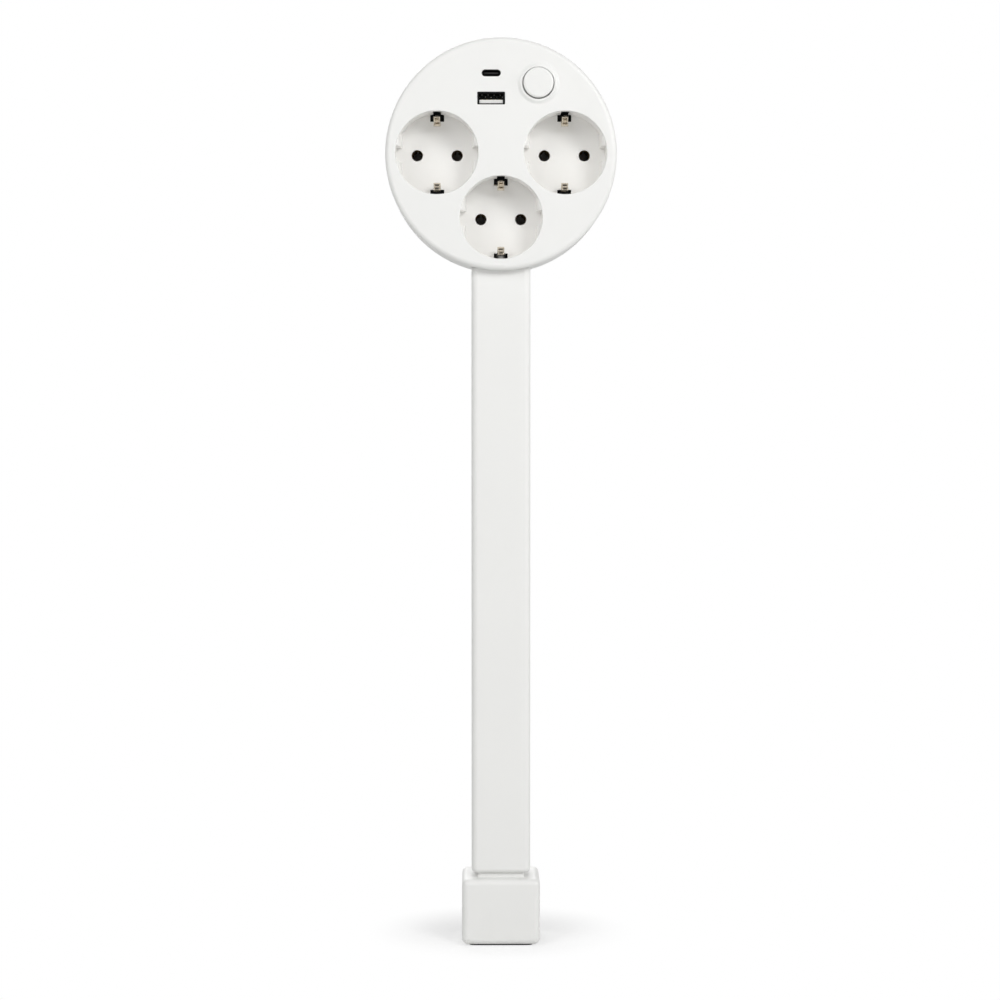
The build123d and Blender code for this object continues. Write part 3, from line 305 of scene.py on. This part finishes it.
# Live bars: bare rolled brass, coloured darker than such brass as painted shade in the pin holes
# that show them
shadeDarkBrassLook = dict(clipLook, colour="7d6238", tint="6f5731", roughness=0.42, stretch=(1, 1, 6))
dress(["line_rail", "neutral_rail"], workedMetal("bar_brass_darkened_as_shade", shadeDarkBrassLook))

# Gold-flashed port contacts
goldLook = dict(clipLook, colour="8f7a48", tint="857040", roughness=0.35)
dress(["usb_a_contacts"], workedMetal("contact_gold_flash", goldLook))

# Port shells: drawn steel shown in a matt black, which paints the shade inside the ports and stays
# dark beside the white face
portShadeLook = dict(
    padLook, colour="0b0b0c", tint="0f0f10", roughness=0.6, specular=0.25,
    grainMm=0.8, grainStrength=0.1,
)
dress(["usb_a_shell", "usb_c_shell"], mouldedPlastic("port_black_painted_shade", portShadeLook))

# Screws and base plate: zinc-plated steel, cool grey and slightly mottled
zincLook = dict(
    clipLook, colour="c3c6c9", tint="b4b8bb", roughness=0.32, stretch=(1, 1, 1), patchMm=1.5
)
zincPlate = workedMetal("fastener_zinc_plated_steel", zincLook)
dress(["carrier_screws", "anchor_screws", "board_screws", "foot_screws"], zincPlate)
dress(["cover_screws", "foot_base_plate"], zincPlate)

# Button spring: drawn spring wire, left bare
springLook = dict(clipLook, colour="a9abad", tint="9ea0a3", roughness=0.3)
dress(["button_spring"], workedMetal("spring_drawn_steel", springLook))

# Radio can: tinned steel sheet
canLook = dict(clipLook, colour="cfd1d3", tint="c5c7ca", roughness=0.25, stretch=(1, 1, 5))
dress(["radio_module"], workedMetal("can_tinned_steel", canLook))


waveRadians = 20  # what a wave texture turns through in one unit at scale 1


def windingTape(look):
    # Polyester tape round the coil: yellow film whose edges show as soft bands
    material, tree, place = startMaterial("winding_yellow_polyester_tape")
    turns = addNode(
        tree,
        "ShaderNodeTexWave",
        {
            "bands_direction": "Z", "Distortion": look["bandWobble"],
            "Scale": perMm(look["radianMm"]) / waveRadians,
        },
        {"Vector": place},
    )
    tint = addNode(
        tree,
        "ShaderNodeMix",
        {"data_type": "RGBA", 6: toLinear(look["colour"]), 7: toLinear(look["edge"])},
        {0: turns.outputs["Fac"]},
    )
    bump = addNode(
        tree,
        "ShaderNodeBump",
        {"Strength": look["edgeStrength"], "Distance": look["edgeDepthMm"] / 1000},
        {"Height": turns.outputs["Fac"]},
    )
    shader = addNode(
        tree,
        "ShaderNodeBsdfPrincipled",
        {"Roughness": look["roughness"]},
        {"Base Color": tint.outputs[2], "Normal": bump.outputs[0]},
    )
    addNode(tree, "ShaderNodeOutputMaterial", links={"Surface": shader.outputs[0]})
    return material


# One radian of the wave is 3 mm long, so a whole band is about 19 mm
tapeLook = {
    "colour": "d9b52e", "edge": "c7a325", "roughness": 0.3, "radianMm": 3.0,
    "bandWobble": 0.4, "edgeStrength": 0.4, "edgeDepthMm": 0.1,
}
dress(["transformer_winding"], windingTape(tapeLook))


def boardLaminate(look):
    # Glass-epoxy board: green solder mask, a little lighter over the straight copper tracks
    material, tree, place = startMaterial("board_green_solder_mask")
    flat = addNode(tree, "ShaderNodeMapping", {"Rotation": look["turn"]}, {"Vector": place})
    tracks = addNode(
        tree,
        "ShaderNodeTexBrick",
        {
            "Color1": toLinear(look["track"]), "Color2": toLinear(look["colour"]),
            "Mortar": toLinear(look["gap"]), "Mortar Size": look["gapMm"] / 1000, "Scale": 1.0,
            "Brick Width": look["trackLengthMm"] / 1000, "Row Height": look["trackPitchMm"] / 1000,
        },
        {"Vector": flat.outputs[0]},
    )
    bump = addNode(
        tree,
        "ShaderNodeBump",
        {"Strength": look["trackStrength"], "Distance": look["trackDepthMm"] / 1000},
        {"Height": tracks.outputs["Fac"]},
    )
    shader = addNode(
        tree,
        "ShaderNodeBsdfPrincipled",
        {"Roughness": look["roughness"]},
        {"Base Color": tracks.outputs["Color"], "Normal": bump.outputs[0]},
    )
    addNode(tree, "ShaderNodeOutputMaterial", links={"Surface": shader.outputs[0]})
    return material


boardLook = {
    "colour": "1c5c38", "track": "256b44", "gap": "174d2f", "roughness": 0.35,
    "gapMm": 0.3, "trackLengthMm": 9.0, "trackPitchMm": 1.3, "turn": (math.pi / 2, 0, 0),
    "trackStrength": 0.3, "trackDepthMm": 0.04,
}
dress(["main_board"], boardLaminate(boardLook))
print("finishes given to the CAD nodes")


def addPiece(name, mesh, material, body, creaseDegrees):
    # makes an object from a bmesh, shaded smooth up to the crease angle, and lets it ride
    data = bpy.data.meshes.new(name)
    mesh.to_mesh(data)
    mesh.free()
    data.materials.append(material)
    data.shade_smooth()
    data.set_sharp_from_angle(angle=math.radians(creaseDegrees))
    piece = bpy.data.objects.new(name, data)
    scene.collection.objects.link(piece)
    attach(piece, body)
    return piece


def bevelled(mesh, edges, widthMm):
    bmesh.ops.bevel(
        mesh,
        geom=edges,
        offset=widthMm / 1000,
        affect="EDGES",
        segments=1,
        profile=0.5,
        material=-1,
    )


def middleOf(node):
    return [(low + high) / 2 for low, high in zip(*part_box(node))]


# In metres: points nearer than the first are one point, and a cut takes points within the second
weldDistance = 1e-6
cutTolerance = 1e-7

# Earth clips: each a bent strip with two windows, so that metal shows at the grip, between the
# windows and at the tip. Stations run from the bar to the tip, in mm: distance from the well's
# axis, distance ahead of the insert's back, half the strip's width, half the window's width. A
# window fills each step that "windows" names.
clipShape = {
    "stations": (
        (16.25, -0.1, 1.6, 1.1), (16.25, 1.8, 1.6, 1.1), (16.1, 2.4, 1.6, 1.1),
        (15.7, 3.1, 1.6, 1.1), (13.8, 5.8, 1.65, 1.1), (13.42, 6.5, 1.65, 1.1),
        (13.3, 7.1, 1.65, 1.1), (13.3, 7.7, 1.65, 1.1), (13.42, 8.3, 1.65, 1.1),
        (13.75, 9.0, 1.62, 1.1), (14.15, 9.58, 1.58, 1.1), (14.95, 10.75, 1.5, 1.1),
        (15.4, 11.4, 1.48, 0.9), (15.9, 12.13, 1.48, 0.9), (16.72, 13.32, 1.5, 0.9),
        (17.0, 13.73, 1.5, 0.9),
    ),
    "windows": (10, 13), "thicknessMm": 0.5, "edgeMm": 0.07, "edgeDegrees": 60,
    "stubMm": 0.02, "creaseDegrees": 40,
}
# A second, narrower leg stands behind each upper strip and shows through its windows
legShape = {"gapMm": 0.75, "halfWidthMm": 0.72, "foldMm": 0.3, "stations": 15}
clipLeg = dict(
    clipShape,
    windows=(),
    stations=[
        (radius + legShape["gapMm"], ahead, legShape["halfWidthMm"], legShape["foldMm"])
        for radius, ahead, *_ in clipShape["stations"][:legShape["stations"]]
    ],
)


def clipStrip(mesh, centreX, centreZ, backY, half, shape):
    # one strip; half is 1 for the clip above the well's axis and -1 for the one below
    rows = []
    for radius, ahead, halfWidth, halfWindow in shape["stations"]:
        y = backY - ahead / 1000
        z = centreZ + half * radius / 1000
        across = (-halfWidth, -halfWindow, halfWindow, halfWidth)
        rows.append([mesh.verts.new((centreX + x / 1000, y, z)) for x in across])
    sheet = []
    for step, (near, far) in enumerate(zip(rows, rows[1:])):
        left, window, right = zip(near, near[1:], far[1:], far)
        quads = (left, right) if step in shape["windows"] else (left, window, right)
        sheet += [mesh.faces.new(quad) for quad in quads]
    mesh.normal_update()
    outward = shape["thicknessMm"] / 1000
    if sheet[0].normal.z * half < 0:
        outward = -outward
    offsets = {tuple(v.co): v.normal * outward for row in rows for v in row}
    grown = bmesh.ops.extrude_face_region(mesh, geom=sheet)["geom"]
    for item in grown:
        if isinstance(item, bmesh.types.BMVert):
            item.co += offsets[tuple(item.co)]


clips = bmesh.new()
clips.from_mesh(nodes["earth_rail"].data)
bmesh.ops.remove_doubles(clips, verts=clips.verts, dist=weldDistance)
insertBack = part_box("socket_insert_bottom")[1].y
clipStart = insertBack - clipShape["stations"][0][1] / 1000
bmesh.ops.bisect_plane(
    clips,
    geom=clips.verts[:] + clips.edges[:] + clips.faces[:],
    dist=cutTolerance,
    plane_co=(0, clipStart - clipShape["stubMm"] / 1000, 0),
    plane_no=(0, -1, 0),
    clear_outer=True,
)
bmesh.ops.holes_fill(clips, edges=[e for e in clips.edges if e.is_boundary], sides=0)
bmesh.ops.recalc_face_normals(clips, faces=clips.faces)
strips = bmesh.new()
inserts = ("socket_insert_left", "socket_insert_right", "socket_insert_bottom")
for name in inserts:
    centreX, _, centreZ = middleOf(name)
    for half, shape in ((-1, clipShape), (1, clipShape), (1, clipLeg)):
        clipStrip(strips, centreX, centreZ, insertBack, half, shape)
bmesh.ops.recalc_face_normals(strips, faces=strips.faces)
edgeAngle = math.radians(clipShape["edgeDegrees"])
bevelled(strips, [e for e in strips.edges if e.calc_face_angle(0) > edgeAngle], clipShape["edgeMm"])
stripData = bpy.data.meshes.new("clip_strips")
strips.to_mesh(stripData)
strips.free()
clips.from_mesh(stripData)
bpy.data.meshes.remove(stripData)
earthClips = addPiece("earth_clips", clips, clipMetal, "column", clipShape["creaseDegrees"])
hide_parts("earth_rail")
print("earth clips built")

# Slot cheeks: fillers that keep the slot in each well's wall narrow all the way to the floor, near
# which the CAD's slot opens wide. In mm: a cheek's section is given by distances from the slot's
# middle, and its depth by distances ahead of the insert's back.
cheekShape = {
    "across": (1.88, 2.6, 3.32), "wellRadius": 19.5, "wall": 0.7, "ahead": (1.8, 10.32),
    "creaseDegrees": 30,
}
cheeks = bmesh.new()
cheekSection = [(x, math.sqrt(cheekShape["wellRadius"] ** 2 - x * x)) for x in cheekShape["across"]]
cheekSection += [(x, radius + cheekShape["wall"]) for x, radius in reversed(cheekSection)]
for name in inserts:
    centreX, _, centreZ = middleOf(name)
    for side, half in ((-1, -1), (-1, 1), (1, -1), (1, 1)):
        section = [
            (centreX + side * x / 1000, centreZ + half * radius / 1000)
            for x, radius in cheekSection
        ]
        ends = [
            [cheeks.verts.new((x, insertBack - ahead / 1000, z)) for x, z in section]
            for ahead in cheekShape["ahead"]
        ]
        for end in ends:
            cheeks.faces.new(end)
        for i in range(len(cheekSection)):
            j = (i + 1) % len(cheekSection)
            cheeks.faces.new((ends[0][i], ends[0][j], ends[1][j], ends[1][i]))
bmesh.ops.recalc_face_normals(cheeks, faces=cheeks.faces)
addPiece("slot_cheeks", cheeks, insertPlastic, "column", cheekShape["creaseDegrees"])
print("slot cheeks built")

# Button cap: the CAD cap with its outer skin let out and sitting a little high in its play, so that
# the gap round it is narrow, and widest below, as in the photo
capShape = {
    "skinFromMm": 5.8, "skinToMm": 6.95, "skinRadiusMm": 7.11,
    "playAcrossMm": 0.04, "playUpMm": 0.2,
}
capX, _, capZ = middleOf("button_cap")
capData = nodes["button_cap"].data.copy()


def capReach(vertex):
    return math.hypot(vertex.co.x - capX, vertex.co.z - capZ)


skinFrom = capShape["skinFromMm"] / 1000
skinTo = capShape["skinToMm"] / 1000
capRadius = max(reach for reach in map(capReach, capData.vertices) if reach < skinTo)
capGrowth = capShape["skinRadiusMm"] / 1000 / capRadius
for vertex in capData.vertices:
    if skinFrom < capReach(vertex) < skinTo:
        vertex.co.x = capX + (vertex.co.x - capX) * capGrowth + capShape["playAcrossMm"] / 1000
        vertex.co.z = capZ + (vertex.co.z - capZ) * capGrowth + capShape["playUpMm"] / 1000
buttonCap = bpy.data.objects.new("button_cap_skin", capData)
scene.collection.objects.link(buttonCap)
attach(buttonCap, "button")
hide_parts("button_cap")
print("button cap built")


def turned(profile, steps):
    # a profile of radius and height turned about Z; it starts and ends on the axis
    mesh = bmesh.new()
    points = [mesh.verts.new((radius, 0, height)) for radius, height in profile]
    edges = [mesh.edges.new(pair) for pair in zip(points, points[1:])]
    bmesh.ops.spin(
        mesh,
        geom=points + edges,
        cent=(0, 0, 0),
        axis=(0, 0, 1),
        angle=2 * math.pi,
        steps=steps,
        use_merge=True,
        use_duplicate=False,
    )
    bmesh.ops.remove_doubles(mesh, verts=mesh.verts, dist=weldDistance)
    bmesh.ops.recalc_face_normals(mesh, faces=mesh.faces)
    return mesh


# Rear cover screws: domed pan heads with a cross recess, in mm. The dome's stations are shares of
# the head's radius and of the dome's rise below its top.
screwShape = {
    "headRadius": 2.8, "headHeight": 2.0, "domeRise": 0.55, "edgeRound": 0.35, "edgeShare": 0.3,
    "dome": ((0.66, 0.5), (0.34, 0.13)), "shankRadius": 1.35, "pointShare": 0.6, "turns": 48,
    "crossLong": 1.75, "crossShort": 0.38, "crossDepth": 1.2, "crossDraft": 0.55,
    "creaseDegrees": 35,
}
screwLow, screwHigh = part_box("cover_screws")
headTop = screwShape["headHeight"] / 1000
headRadius = screwShape["headRadius"] / 1000
rise = screwShape["domeRise"] / 1000
rimHeight = headTop - rise
edgeRound = screwShape["edgeRound"] / 1000
edgeCut = edgeRound * screwShape["edgeShare"]
shankLength = screwHigh.y - screwLow.y - headTop
shankRadius = screwShape["shankRadius"] / 1000
point = shankRadius * screwShape["pointShare"]
screwProfile = [
    (0, -shankLength), (point, -shankLength), (shankRadius, -shankLength + point),
    (shankRadius, 0), (headRadius, 0), (headRadius, rimHeight - edgeRound),
    (headRadius - edgeCut, rimHeight - edgeCut), (headRadius - edgeRound, rimHeight),
]
screwProfile += [
    (headRadius * across, headTop - rise * drop) for across, drop in screwShape["dome"]
]
screwProfile.append((0, headTop))
screwMesh = turned(screwProfile, screwShape["turns"])
cutter = bmesh.new()
long = screwShape["crossLong"] / 1000
short = screwShape["crossShort"] / 1000
outline = [
    (long, short), (short, short), (short, long), (-short, long), (-short, short), (-long, short),
    (-long, -short), (-short, -short), (-short, -long), (short, -long), (short, -short),
    (long, -short),
]
upper = [cutter.verts.new((x, y, headTop + rise)) for x, y in outline]
draft = screwShape["crossDraft"]
crossFloor = headTop - screwShape["crossDepth"] / 1000
lower = [cutter.verts.new((x * draft, y * draft, crossFloor)) for x, y in outline]
cutter.faces.new(upper)
cutter.faces.new(lower)
for i in range(len(outline)):
    j = (i + 1) % len(outline)
    cutter.faces.new((upper[i], upper[j], lower[j], lower[i]))
bmesh.ops.recalc_face_normals(cutter, faces=cutter.faces)
blankData = bpy.data.meshes.new("screw_blank")
screwMesh.to_mesh(blankData)
screwMesh.free()
cutterData = bpy.data.meshes.new("screw_cutter")
cutter.to_mesh(cutterData)
cutter.free()
blank = bpy.data.objects.new("screw_blank", blankData)
cross = bpy.data.objects.new("screw_cutter", cutterData)
scene.collection.objects.link(blank)
scene.collection.objects.link(cross)
cut = blank.modifiers.new("cross", "BOOLEAN")
cut.operation = "DIFFERENCE"
cut.solver = "EXACT"
cut.object = cross
bpy.context.view_layer.update()
dependencies = bpy.context.evaluated_depsgraph_get()
cutData = bpy.data.meshes.new_from_object(blank.evaluated_get(dependencies))
screws = bmesh.new()
towardBack = Matrix.Rotation(math.radians(-90), 4, "X")
for screwX in (screwLow.x + headRadius, screwHigh.x - headRadius):
    for screwZ in (screwLow.z + headRadius, screwHigh.z - headRadius):
        placed = cutData.copy()
        placed.transform(Matrix.Translation((screwX, screwHigh.y - headTop, screwZ)) @ towardBack)
        screws.from_mesh(placed)
        bpy.data.meshes.remove(placed)
for leftover in (blank, cross):
    bpy.data.objects.remove(leftover)
for leftover in (blankData, cutterData, cutData):
    bpy.data.meshes.remove(leftover)
coverScrews = addPiece(
    "cover_screws_crossed", screws, zincPlate, "column", screwShape["creaseDegrees"]
)
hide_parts("cover_screws")
print("cover screws built")

# Larger port: contact roots in its back wall and spring dimples in its top wall, in mm, of matt tin
# plate, which scatters light and so shows in the dark port
rootLook = dict(clipLook, colour="f2f0ec", tint="e6e4e0", roughness=0.7)
rootMetal = workedMetal("root_matt_tin_plate", rootLook)
rootShape = {
    "width": 0.5, "height": 0.35, "depth": 0.5, "edge": 0.08, "creaseDegrees": 35,
    "roots": {"count": 5, "pitch": 2.7, "rise": 1.45, "ahead": 0.25},
    "dimples": {"count": 4, "pitch": 2.9, "rise": 2.25, "ahead": 2.4},
}
portX, _, portZ = middleOf("usb_a_shell")
studs = bmesh.new()
studSize = Matrix.Diagonal([rootShape[key] / 1000 for key in ("width", "depth", "height")]).to_4x4()
for row in (rootShape["roots"], rootShape["dimples"]):
    y = paintedShadeBlockFront - row["ahead"] / 1000
    z = portZ + row["rise"] / 1000
    for i in range(row["count"]):
        x = portX + (i - (row["count"] - 1) / 2) * row["pitch"] / 1000
        stud = Matrix.Translation((x, y, z)) @ studSize
        bmesh.ops.create_cube(studs, size=1.0, matrix=stud)
bevelled(studs, studs.edges[:], rootShape["edge"])
addPiece("port_contact_roots", studs, rootMetal, "column", rootShape["creaseDegrees"])
print("port contact roots built")


def stretched(name, node):
    # a copy of a CAD node with its placement baked into its points; the node is hidden
    piece = bpy.data.objects.new(name, nodes[node].data.copy())
    scene.collection.objects.link(piece)
    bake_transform(piece)
    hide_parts(node)


# Button spring and flex coil: each is shown as a plain copy of its CAD node
stretched("button_spring_live", "button_spring")
stretched("flex_coil_live", "flex_coil")

# Floor: white paper that keeps the soft shadow round the foot and turns plain white further out
floorLook = {
    "halfSize": 4.0, "colour": "ffffff", "bounce": "eeeeed", "shadowShare": 0.6,
    "fadeFrom": 0.015, "fadeTo": 0.068, "shadowPlace": (0, 0.018, 0),
}
floorMesh = bmesh.new()
bmesh.ops.create_grid(floorMesh, x_segments=1, y_segments=1, size=floorLook["halfSize"])
floorData = bpy.data.meshes.new("floor")
floorMesh.to_mesh(floorData)
floorMesh.free()
floor = bpy.data.objects.new("floor", floorData)
scene.collection.objects.link(floor)
floorMaterial, tree, place = startMaterial("floor_white_paper")
reach = addNode(
    tree,
    "ShaderNodeVectorMath",
    {"operation": "DISTANCE", 1: floorLook["shadowPlace"]},
    {0: place},
)
fade = addNode(
    tree,
    "ShaderNodeMapRange",
    {
        "interpolation_type": "SMOOTHSTEP", "From Min": floorLook["fadeFrom"],
        "From Max": floorLook["fadeTo"], "To Min": 1 - floorLook["shadowShare"],
    },
    {"Value": reach.outputs["Value"]},
)
paper = addNode(tree, "ShaderNodeBsdfDiffuse", {"Color": toLinear(floorLook["colour"])})
bounce = addNode(tree, "ShaderNodeBsdfDiffuse", {"Color": toLinear(floorLook["bounce"])})
white = addNode(tree, "ShaderNodeEmission", {"Strength": 1.0})
seen = addNode(
    tree,
    "ShaderNodeMixShader",
    links={0: fade.outputs[0], 1: paper.outputs[0], 2: white.outputs[0]},
)
rays = addNode(tree, "ShaderNodeLightPath")
surface = addNode(
    tree,
    "ShaderNodeMixShader",
    links={0: rays.outputs["Is Camera Ray"], 1: bounce.outputs[0], 2: seen.outputs[0]},
)
addNode(tree, "ShaderNodeOutputMaterial", links={"Surface": surface.outputs[0]})
floorData.materials.append(floorMaterial)

# World: an even studio surround; the camera, reflections and clear pieces see plain white
world = bpy.data.worlds.new("studio")
scene.world = world
world.use_nodes = True
tree = world.node_tree
tree.nodes.clear()
worldLook = {"fill": 0.2}
rays = addNode(tree, "ShaderNodeLightPath")
anyView = rays.outputs["Is Camera Ray"]
for kind in ("Is Glossy Ray", "Is Transmission Ray"):
    links = {0: anyView, 1: rays.outputs[kind]}
    anyView = addNode(tree, "ShaderNodeMath", {"operation": "MAXIMUM"}, links).outputs[0]
pureWhite = (1, 1, 1, 1)
fill = addNode(tree, "ShaderNodeBackground", {"Color": pureWhite, "Strength": worldLook["fill"]})
plain = addNode(tree, "ShaderNodeBackground", {"Color": pureWhite, "Strength": 1.0})
mixed = addNode(
    tree, "ShaderNodeMixShader", links={0: anyView, 1: fill.outputs[0], 2: plain.outputs[0]}
)
addNode(tree, "ShaderNodeOutputWorld", links={"Surface": mixed.outputs[0]})

# Lamps: soft boxes front right, front left, at the right and behind, and a weak one low in front
lamps = {
    "rightBox": {"place": (0.75, -1.2, 0.95), "size": 0.5, "power": 9.1},
    "leftBox": {"place": (-0.9, -1.1, 1.1), "size": 0.9, "power": 9.2},
    "sideBox": {"place": (1.4, -0.5, 0.6), "size": 0.8, "power": 5.2},
    "lowBox": {"place": (-0.6, -1.5, 0.35), "size": 0.7, "power": 0.8},
    "backBox": {"place": (-0.3, 1.5, 0.9), "size": 1.2, "power": 12.0},
}
lampAim = Vector((0, 0, 0.3))
for name, lamp in lamps.items():
    light = bpy.data.lights.new(name, "AREA")
    light.shape = "SQUARE"
    light.size = lamp["size"]
    light.energy = lamp["power"]
    holder = bpy.data.objects.new(name, light)
    holder.location = lamp["place"]
    aim = lampAim - Vector(lamp["place"])
    holder.rotation_euler = aim.to_track_quat("-Z", "Y").to_euler()
    scene.collection.objects.link(holder)

# Camera at the photograph's place, a little below the head and looking slightly down
cameraLook = {
    "place": (-0.01032, -1.22222, 0.2665), "pitch": -2.536, "yaw": -0.467,
    "lens": 91.8, "sensor": 36.0,
}
cameraData = bpy.data.cameras.new("camera")
cameraData.lens = cameraLook["lens"]
cameraData.sensor_width = cameraLook["sensor"]
camera = bpy.data.objects.new("camera", cameraData)
camera.location = cameraLook["place"]
pitch = math.radians(90 + cameraLook["pitch"])
camera.rotation_euler = (pitch, 0, math.radians(cameraLook["yaw"]))
scene.collection.objects.link(camera)
scene.camera = camera
scene.view_settings.view_transform = "Standard"
print("stage, lamps and camera set")
